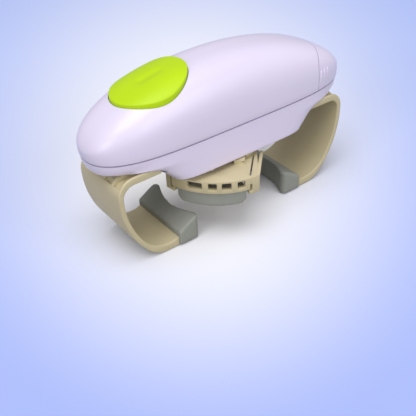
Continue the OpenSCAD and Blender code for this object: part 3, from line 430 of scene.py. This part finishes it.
def seam_cutter(shift):
    cutter = start_with(bpy.ops.mesh.primitive_grid_add,
                        x_subdivisions=2, y_subdivisions=80, size=2, location=(0, 0, 0))
    for corner in cutter.data.vertices:
        y = cutter_half * corner.co.y
        seam = seam_x + seam_bow * max(1 - (y / bow_half) ** 2, 0) + shift
        corner.co = Vector((seam if corner.co.x < 0 else cutter_end, y, cutter_foot)) * mm
    bpy.ops.object.mode_set(mode="EDIT")
    bpy.ops.mesh.select_all(action="SELECT")
    bpy.ops.mesh.extrude_region_move(TRANSFORM_OT_translate={"value": (0, 0, cutter_h * mm)})
    bpy.ops.mesh.select_all(action="SELECT")
    bpy.ops.mesh.normals_make_consistent(inside=False)
    bpy.ops.object.mode_set(mode="OBJECT")
    return cutter


def cut(obj, cutter, operation="DIFFERENCE"):
    apply_modifier(obj, "BOOLEAN", object=cutter, operation=operation, solver="EXACT")
    bpy.data.objects.remove(cutter)


button_at, button_half = -44.0, (21.8, 19.2)
hole_z, hole_h = 95, 40
lid = bpy.data.objects.new("battery_lid", dome.data.copy())
bpy.context.scene.collection.objects.link(lid)
cut(dome, seam_cutter(0))
cut(lid, seam_cutter(seam_gap), "INTERSECT")
hole = start_with(bpy.ops.mesh.primitive_cylinder_add, vertices=128, radius=1, depth=1)
for corner in hole.data.vertices:
    corner.co = Vector((button_at + button_half[0] * corner.co.x,
                        button_half[1] * corner.co.y, hole_z + hole_h * corner.co.z)) * mm
cut(dome, hole)
print("the button's hole is", 2 * button_half[0], "by", 2 * button_half[1], "mm")

# %% The grip ribs
rib_x, rib_pitch, rib_sink, rib_z = 59.2, 3, 0.5, 71.5
rib_half = (0.9, 0.95, 4.4)
for step in range(3):
    for across in (-1, 1):
        x = rib_x + rib_pitch * step
        y = across * (side(x / half_l, half_w) - rib_sink)
        rib = start_with(bpy.ops.mesh.primitive_uv_sphere_add, segments=24, ring_count=24, radius=1)
        for corner in rib.data.vertices:
            corner.co = Vector((x + rib_half[0] * corner.co.x, y + rib_half[1] * corner.co.y,
                                rib_z + rib_half[2] * corner.co.z)) * mm
        cut(lid, rib, "UNION")
hand_over(dome, "shell_plastic", "housing", "top_shell")
hand_over(lid, "shell_plastic", "battery_door", "battery_cover")

# %% [markdown]
# ## The lower housing
# Under the parting line a shallow tray carries on the oval, and a deeper plinth grows out of its
# middle, with ends that sweep out into the tray. Both are drawn as distances from the lid's axis
# in many directions: at each level the larger of the two is the skin, with a small fillet where
# they meet. The rings are stacked from the foot to the parting line.

# %% The two outlines
corner_count = 240
plinth_foot, tray_foot = 43.0, 56.6
tray_curl, curl_share = 3, 0.96
plinth_mid, plinth_half, plinth_widens, plinth_sweep = 1.5, 46, 14, 16
foot_round, sweep_power, corner_power = 1, 7, 8


def furthest(inside, limit):
    low, high = 0.0, limit
    for _ in range(40):
        r = (low + high) / 2
        low, high = (r, high) if inside(r) else (low, r)
    return low


def tray_reach(direction, z, inset):
    drop = min(max((parting - z) / (parting - tray_foot), 0), 1)
    curl = tray_curl * (1 - math.sqrt(1 - (curl_share * drop) ** 2)) + tuck(rim_h) + tray_step + inset
    half_x, half_y = half_l - curl, half_w - curl
    return furthest(lambda r: (abs(r * direction[0]) / half_x) ** end_power
                    + (abs(r * direction[1]) / half_y) ** side_power < 1, 120.0)


def plinth_width(x, z, inset):
    level = z - inset
    rise = min(max((level - plinth_foot - foot_round) / (tray_foot - plinth_foot - foot_round), 0), 1)
    below = max(plinth_foot + foot_round - level, 0)
    edge = foot_round - math.sqrt(max(foot_round ** 2 - below ** 2, 0))
    half_x = (plinth_half + plinth_widens * rise + plinth_sweep * rise ** sweep_power
              + 0.8 * max(level - tray_foot, 0) - edge)
    drawn_in = (tuck(rim_h) + tray_step) * (z - plinth_foot) / (parting - plinth_foot)
    half_y = half_w - drawn_in - edge - inset
    corner = max(1 - abs((x - plinth_mid) / half_x) ** corner_power, 0) ** (1 / corner_power)
    return side(x / lower_l, half_y) * corner


def plinth_reach(direction, z, inset):
    return furthest(lambda r: abs(r * direction[1]) < plinth_width(r * direction[0], z, inset), lower_l)


def fillet_max(one, other, size):
    return max(one, other) + max(size - abs(one - other), 0) ** 2 / (4 * size)


directions = []
for index in range(corner_count):
    turn = 2 * math.pi * index / corner_count
    x = half_l * math.cos(turn)
    y = math.copysign(side(math.cos(turn), half_w), math.sin(turn))
    directions.append((x / math.hypot(x, y), y / math.hypot(x, y)))
print("outlines ready in", corner_count, "directions")

# %% The stack of rings, up the outside and down the inside
hub_r = 17.65
lip_z, lip_inset, fillet = parting - 1.0, 1.9, 0.8
sweep_rises = (0.08, 0.17, 0.26, 0.35, 0.44, 0.53, 0.62, 0.7, 0.78, 0.84, 0.89, 0.93, 0.965, 1.0)


def ring_at(z, reach):
    return [(reach(d) * d[0], reach(d) * d[1], z) for d in directions]


def under_tray(direction, z, inset, share):
    plinth, tray = plinth_reach(direction, z, inset), tray_reach(direction, z, inset)
    return max(plinth, plinth + share * (tray - plinth))


def skin_reach(direction, z, inset):
    return fillet_max(tray_reach(direction, z, inset), plinth_reach(direction, z, inset), fillet)


def skin_rings(inset):
    foot, under = plinth_foot + inset, tray_foot + inset
    rings = [ring_at(foot, lambda d: hub_r)]
    for share in (0.35, 0.7, 0.97):
        rings.append(ring_at(foot, lambda d: hub_r + share * (plinth_reach(d, foot, inset) - hub_r)))
    for angle in (0, 22, 45, 67, 90):
        z = foot + foot_round - foot_round * math.cos(math.radians(angle))
        rings.append(ring_at(z, lambda d: plinth_reach(d, z, inset)))
    for rise in sweep_rises:
        z = foot + foot_round + (tray_foot - plinth_foot - foot_round) * rise
        rings.append(ring_at(z, lambda d: plinth_reach(d, z, inset)))
    for share in (0.35, 0.7, 1.0):
        rings.append(ring_at(under, lambda d: under_tray(d, under, inset, share)))
    for step in range(1, 9):
        z = under + (lip_z - under) * (1 - math.cos(math.radians(90 * step / 8)))
        rings.append(ring_at(z, lambda d: skin_reach(d, z, inset)))
    return rings


rings = skin_rings(0)
rings.append(ring_at(lip_z, lambda d: skin_reach(d, lip_z, lip_inset)))
rings.append(ring_at(parting, lambda d: skin_reach(d, lip_z, lip_inset)))
rings.append(ring_at(parting, lambda d: skin_reach(d, lip_z, wall)))
rings += reversed(skin_rings(wall))
rings.append(rings[0])
lower = stack_rings("lower_housing", rings)
tidy_mesh(lower, 0.005 * mm)
print("lower housing:", [round(n / mm, 2) for n in lower.dimensions], "mm")


# %% The arms' slots and the screws' pockets
slot_x, slot_half, slot_z = (30, 79), 20.85, (51.25, 56.35)
pocket_r, pocket_h = 2.55, 6


def box_cutter(low, high):
    cutter = start_with(bpy.ops.mesh.primitive_cube_add, size=1)
    for corner in cutter.data.vertices:
        corner.co = Vector([(l if c < 0 else h) * mm for c, l, h in zip(corner.co, low, high)])
    return cutter


for near_x, far_x in ((-slot_x[1], -slot_x[0]), slot_x):
    cut(lower, box_cutter((near_x, -slot_half, slot_z[0]), (far_x, slot_half, slot_z[1])))
for x, y, z in ((17.5, 17.6, plinth_foot), (-72, 9, tray_foot)):
    for across in (1, -1):
        cut(lower, start_with(bpy.ops.mesh.primitive_cylinder_add, vertices=48, radius=pocket_r * mm,
                              depth=pocket_h * mm, location=(x * mm, across * y * mm, z * mm)))
hand_over(lower, "shell_plastic", "housing", "lower_shell")

# %% [markdown]
# ## The button
# The button is an oval cap that follows the dome a little higher, with a rounded edge and a plain
# shallow finger groove. A circle is drawn in ring by ring, each corner at the dome's height, and
# the sharp edge is then bevelled.

# %% The button
cap_half = (21.45, 18.85)
proud, skirt_h = 1.7, 9.0
groove_at, groove_half, groove_r, groove_deep = -43, 5, 4.2, 0.6
cap_corners, cap_rows = 144, 40


def groove(x, y):
    along = max(abs(x - groove_at) - groove_half, 0)
    far = math.hypot(along, y) / groove_r
    return groove_deep * (0.5 + 0.5 * math.cos(math.pi * far)) if far < 1 else 0.0


def cap_ring(share, drop=0.0):
    ring = []
    for index in range(cap_corners):
        turn = 2 * math.pi * index / cap_corners
        x = button_at + cap_half[0] * share * math.cos(turn)
        y = cap_half[1] * share * math.sin(turn)
        ring.append((x, y, dome_height(x, y, proud) - drop - groove(x, y)))
    return ring


middle_z = dome_height(button_at, 0, proud) - groove(button_at, 0)
cap_rings = [cap_ring(0.93, skirt_h), cap_ring(1.0, skirt_h)]
cap_rings += [cap_ring(1.0, skirt_h * (1 - step / 4)) for step in range(1, 5)]
cap_rings += [cap_ring(row / cap_rows) for row in range(cap_rows - 1, 0, -1)]
cap_rings += [[(button_at, 0, middle_z)] * cap_corners]
cap = stack_rings("press_button", cap_rings)
tidy_mesh(cap, 0.01 * mm)
apply_modifier(cap, "BEVEL", width=1.0 * mm, segments=4,
               limit_method="ANGLE", angle_limit=math.radians(50))
apply_modifier(cap, "SOLIDIFY", thickness=1.2 * mm, offset=-1)
hand_over(cap, "button_plastic", "push_button", "button")

# %% [markdown]
# ## Arms, jaws and pads
# These mouldings have many small faces that the CAD part already holds exactly, so a copy of each
# is taken: its loose triangles are merged and flat areas are dissolved into single faces. The arms'
# outer edges are then weighted and rounded wide, the jaws' edges finely, as their moulds do. The
# rubber pads have no sharp edge at all: Remesh gives them an even net of small faces, and Smooth
# draws that net over the corners until the form looks soft.

# %% Rounded copies of CAD nodes
def clean_copy(node_name, name):
    piece = bpy.data.objects.new(name, frame["nodes"][node_name].data.copy())
    bpy.context.scene.collection.objects.link(piece)
    only(piece)
    bpy.ops.object.mode_set(mode="EDIT")
    bpy.ops.mesh.select_all(action="SELECT")
    bpy.ops.mesh.remove_doubles(threshold=0.002 * mm)
    bpy.ops.mesh.dissolve_limited(angle_limit=math.radians(1))
    bpy.ops.object.mode_set(mode="OBJECT")
    return piece


def weigh_edges(piece, angle, wanted):
    mesh = bmesh.new()
    mesh.from_mesh(piece.data)
    weights = [float(len(edge.link_faces) == 2 and edge.calc_face_angle() > math.radians(angle)
                     and wanted((edge.verts[0].co + edge.verts[1].co) / 2 / mm)) for edge in mesh.edges]
    mesh.free()
    piece.data.attributes.new("bevel_weight_edge", "FLOAT", "EDGE").data.foreach_set("value", weights)
    return int(sum(weights))


hands, places = ("left", "right"), ("front", "back")
bend_x, edge_y = 47, 20
for hand in hands:
    arm = clean_copy(f"{hand}_arm", f"{hand}_clamp_arm")
    rounded = weigh_edges(arm, 50, lambda middle: abs(middle.x) > bend_x and abs(middle.y) > edge_y)
    apply_modifier(arm, "BEVEL", width=0.8 * mm, segments=4,
                   limit_method="WEIGHT", use_clamp_overlap=False)
    hand_over(arm, "arm_plastic", f"{hand}_clamp", f"{hand}_arm")
    print(rounded, "edges rounded")
for place_name in places:
    jaw = clean_copy(f"{place_name}_jaw", f"{place_name}_lid_jaw")
    apply_modifier(jaw, "BEVEL", width=0.25 * mm, segments=2, limit_method="ANGLE",
                   angle_limit=math.radians(35), use_clamp_overlap=True)
    hand_over(jaw, "arm_plastic", f"{place_name}_grip", f"{place_name}_jaw")


# %% Soft rubber pads
def soft_copy(node_name, name, body, grid, repeats):
    pad = clean_copy(node_name, name)
    apply_modifier(pad, "REMESH", mode="VOXEL", voxel_size=grid * mm)
    apply_modifier(pad, "SMOOTH", factor=0.5, iterations=repeats)
    hand_over(pad, "grip_rubber", body, node_name, angle=80)


for hand in hands:
    soft_copy(f"{hand}_arm_pad", f"{hand}_jar_pad", f"{hand}_clamp", 0.45, 36)
for place_name in places:
    soft_copy(f"{place_name}_jaw_pad", f"{place_name}_lid_pad", f"{place_name}_grip", 0.3, 12)

# %% [markdown]
# ## Floor, light and camera
# A plain pale floor carries the feet. Broad soft lamps above and in front and a smaller, weaker one
# at the left light the object at a plain level. Seen directly, in a reflection or through something
# clear, the floor shows a painted pool of light: near-white, fading to a pale blue further out. The
# light that it throws back comes from a plain grey, so it doesn't tint the object, and the shadows
# stay.

# %% The floor
view_turn = math.radians(-35.5)
floor = start_with(bpy.ops.mesh.primitive_plane_add, size=6, location=(0, 0, -0.2 * mm))
floor.name = "floor"
paper, tree, shader, place = new_finish("pale floor with a painted pool of light", Roughness=0.9)
turned = put(tree, "ShaderNodeMapping", {"Vector": place, "Rotation": (0, 0, view_turn)},
             vector_type="TEXTURE")
ahead = put(tree, "ShaderNodeSeparateXYZ", {"Vector": turned.outputs["Vector"]})
depth = put(tree, "ShaderNodeMath", {0: ahead.outputs["Y"], 1: 0.812, 2: 0.424},
            operation="MULTIPLY_ADD")
share = put(tree, "ShaderNodeMath", {0: 1.0, 1: depth.outputs["Value"]}, operation="DIVIDE")
narrow = put(tree, "ShaderNodeVectorMath",
             {"Vector": turned.outputs["Vector"], "Scale": share.outputs["Value"]}, operation="SCALE")
# painted pool of light: an oval on the floor, near-white in its middle, fading to pale blue further out
painted_light_pool = put(tree, "ShaderNodeMapping", {"Vector": narrow.outputs["Vector"], "Location": (-0.03, 0.09, 0),
                                       "Scale": (0.428, 0.758, 1)}, vector_type="TEXTURE")
far = put(tree, "ShaderNodeVectorMath", {0: painted_light_pool.outputs["Vector"]}, operation="LENGTH")
painted_light_falloff = put(tree, "ShaderNodeMapRange", {"Value": far.outputs["Value"]}, interpolation_type="SMOOTHSTEP")
# the pale blue is a little darker at the near side of the floor and lighter further back
near = put(tree, "ShaderNodeMapRange",
           {"Value": depth.outputs["Value"], "From Min": 0.3, "From Max": 0.62})
edge_tone = put(tree, "ShaderNodeMix", {"Factor": near.outputs["Result"],
                                        "A": srgb("#A0AFE8"), "B": srgb("#ADBDF2")}, data_type="RGBA")
# painted pool of light: the near-white centre is mixed into the pale blue by the falloff
tint = put(tree, "ShaderNodeMix", {"Factor": painted_light_falloff.outputs["Result"], "A": srgb("#F8F6F4"),
                                   "B": edge_tone.outputs["Result"]}, data_type="RGBA")
path = put(tree, "ShaderNodeLightPath")
direct = put(tree, "ShaderNodeMath",
             {0: path.outputs["Is Camera Ray"], 1: path.outputs["Is Glossy Ray"]}, operation="MAXIMUM")
seen = put(tree, "ShaderNodeMath",
           {0: direct.outputs["Value"], 1: path.outputs["Is Transmission Ray"]}, operation="MAXIMUM")
paper_tone = put(tree, "ShaderNodeMix", {"Factor": seen.outputs["Value"], "A": srgb("#8A8984"),
                                         "B": tint.outputs["Result"]}, data_type="RGBA")
tree.links.new(paper_tone.outputs["Result"], shader.inputs["Base Color"])
floor.data.materials.append(paper)
print("made", floor.name, "in", paper.name)

# %% The light
world = bpy.data.worlds.new("soft room")
world.use_nodes = True
sky = world.node_tree.nodes["Background"]
sky.inputs["Color"].default_value = srgb("#FFFFFF")
sky.inputs["Strength"].default_value = 0.4
bpy.context.scene.world = world
aim = Vector((0, 0, 50 * mm))
lamps = (("lamp above", (-0.5, -0.375, 2.25), 1.75, 37),
         ("lamp in front", (0.5, -2.5, 1.1), 2.0, 30),
         ("lamp at the left", (-2.1, -0.7, 0.9), 1.2, 14))
for name, stand, size, power in lamps:
    lamp = bpy.data.lights.new(name, "AREA")
    lamp.size, lamp.energy = size, power
    holder = bpy.data.objects.new(name, lamp)
    facing = (aim - Vector(stand)).to_track_quat("-Z", "Y").to_matrix().to_4x4()
    holder.matrix_world = Matrix.Translation(stand) @ facing
    bpy.context.scene.collection.objects.link(holder)
print("lit by", len(bpy.data.lights), "lamps and the room")

# %% The camera
lift, roll = math.radians(35.7), math.radians(-2.8)
away, aside, lowered = 426.505, -8.311, -6
spot = Vector((aside, -away * math.cos(lift), away * math.sin(lift)))
spot = (Matrix.Rotation(view_turn, 3, "Z") @ spot + Vector((0, 0, lowered))) * mm
forward = Vector((-math.sin(view_turn) * math.cos(lift), math.cos(view_turn) * math.cos(lift),
                  -math.sin(lift)))
right = Vector((math.cos(view_turn), math.sin(view_turn), 0))
up = right.cross(forward)
level = math.cos(roll) * right + math.sin(roll) * up
upward = math.cos(roll) * up - math.sin(roll) * right
lens = bpy.data.cameras.new("camera")
lens.sensor_width, lens.lens = 36, 58.76
lens.clip_start, lens.clip_end = 0.01, 20
camera = bpy.data.objects.new("camera", lens)
camera.matrix_world = Matrix((
    (level.x, upward.x, -forward.x, spot.x),
    (level.y, upward.y, -forward.y, spot.y),
    (level.z, upward.z, -forward.z, spot.z),
    (0, 0, 0, 1)))
bpy.context.scene.collection.objects.link(camera)
bpy.context.scene.camera = camera
bpy.context.scene.view_settings.view_transform = "Standard"
print("camera", [round(n, 3) for n in spot])
